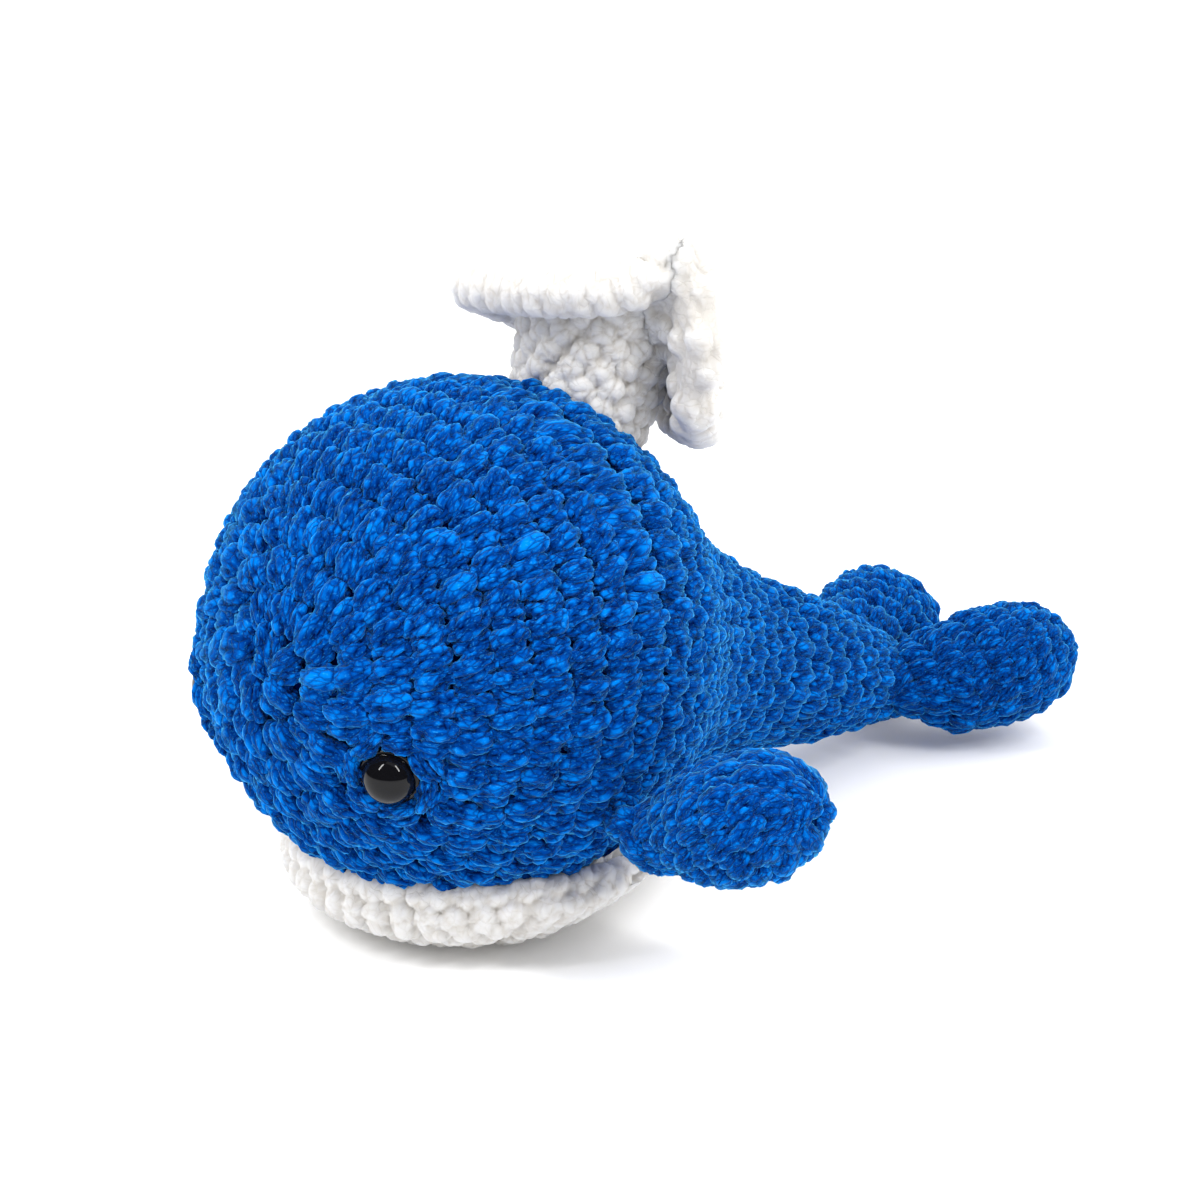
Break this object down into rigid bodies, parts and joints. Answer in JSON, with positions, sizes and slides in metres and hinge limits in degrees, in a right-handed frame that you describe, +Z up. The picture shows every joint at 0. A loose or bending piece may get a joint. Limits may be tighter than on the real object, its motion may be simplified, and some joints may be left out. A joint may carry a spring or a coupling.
{
  "type": "plush whale",
  "caption": "Crocheted plush whale that lies on a white belly patch, with a ruffled spout on its head, side fins, tail flukes and glossy eyes.",
  "frame": {"origin": "on the floor, at the belly patch's flat underside, under the middle of the head", "axes": "+X points to the whale's nose, +Y to the whale's left and +Z up"},
  "size_m": [0.2144, 0.1726, 0.1327],
  "materials": {
    "blue_yarn": "chenille crochet, velvety",
    "white_yarn": "chenille crochet, velvety",
    "fibrefill": "loose polyester fibre",
    "eye_plastic": "polished black",
    "washer_plastic": "moulded, natural white",
    "blue_thread": "twisted sewing yarn",
    "white_thread": "twisted sewing yarn"
  },
  "bodies": {
    "body": {"body_cover": "blue_yarn", "body_stuffing": "fibrefill", "belly_patch": "white_yarn", "belly_seam": "white_thread", "spout_seam": "white_thread", "fin_left_seam": "blue_thread", "fin_right_seam": "blue_thread", "fluke_left_seam": "blue_thread", "fluke_right_seam": "blue_thread"},
    "spout": {"spout": "white_yarn"},
    "fin_left": {"fin_left_cover": "blue_yarn", "fin_left_stuffing": "fibrefill"},
    "fluke_left": {"fluke_left_cover": "blue_yarn", "fluke_left_stuffing": "fibrefill"},
    "eye_left": {"eye_left": "eye_plastic", "eye_left_washer": "washer_plastic"},
    "fin_right": {"fin_right_cover": "blue_yarn", "fin_right_stuffing": "fibrefill"},
    "fluke_right": {"fluke_right_cover": "blue_yarn", "fluke_right_stuffing": "fibrefill"},
    "eye_right": {"eye_right": "eye_plastic", "eye_right_washer": "washer_plastic"}
  },
  "joints": [
    {"name": "spout_tilt", "type": "hinge", "parent": "body", "child": "spout", "pos_m": [-0.031, 0, 0.0944], "axis": [0, 1, 0], "range_deg": [-12, 12], "stiffness_Nm_per_rad": 0.12},
    {"name": "fin_left_flap", "type": "hinge", "parent": "body", "child": "fin_left", "pos_m": [0.00269, 0.05149, 0.03006], "axis": [0.9848, 0.1736, 0], "range_deg": [-30, 10], "stiffness_Nm_per_rad": 0.06},
    {"name": "fin_right_flap", "type": "hinge", "parent": "body", "child": "fin_right", "pos_m": [0.00269, -0.05149, 0.03006], "axis": [-0.8829, 0.4695, 0], "range_deg": [-30, 10], "stiffness_Nm_per_rad": 0.06},
    {"name": "fluke_left_lift", "type": "hinge", "parent": "body", "child": "fluke_left", "pos_m": [-0.13497, 0.01356, 0.0142], "axis": [0.4848, 0.8746, 0], "range_deg": [-2, 30], "stiffness_Nm_per_rad": 0.06},
    {"name": "fluke_right_lift", "type": "hinge", "parent": "body", "child": "fluke_right", "pos_m": [-0.13497, -0.01356, 0.0142], "axis": [-0.4848, 0.8746, 0], "range_deg": [-2, 30], "stiffness_Nm_per_rad": 0.06},
    {"name": "eye_left_turn", "type": "hinge", "parent": "body", "child": "eye_left", "pos_m": [0.04331, 0.02561, 0.04496], "axis": [0.8388, 0.5054, -0.2024], "continuous": true},
    {"name": "eye_right_turn", "type": "hinge", "parent": "body", "child": "eye_right", "pos_m": [0.03487, -0.03611, 0.04498], "axis": [0.674, -0.7109, -0.201], "continuous": true}
  ]
}
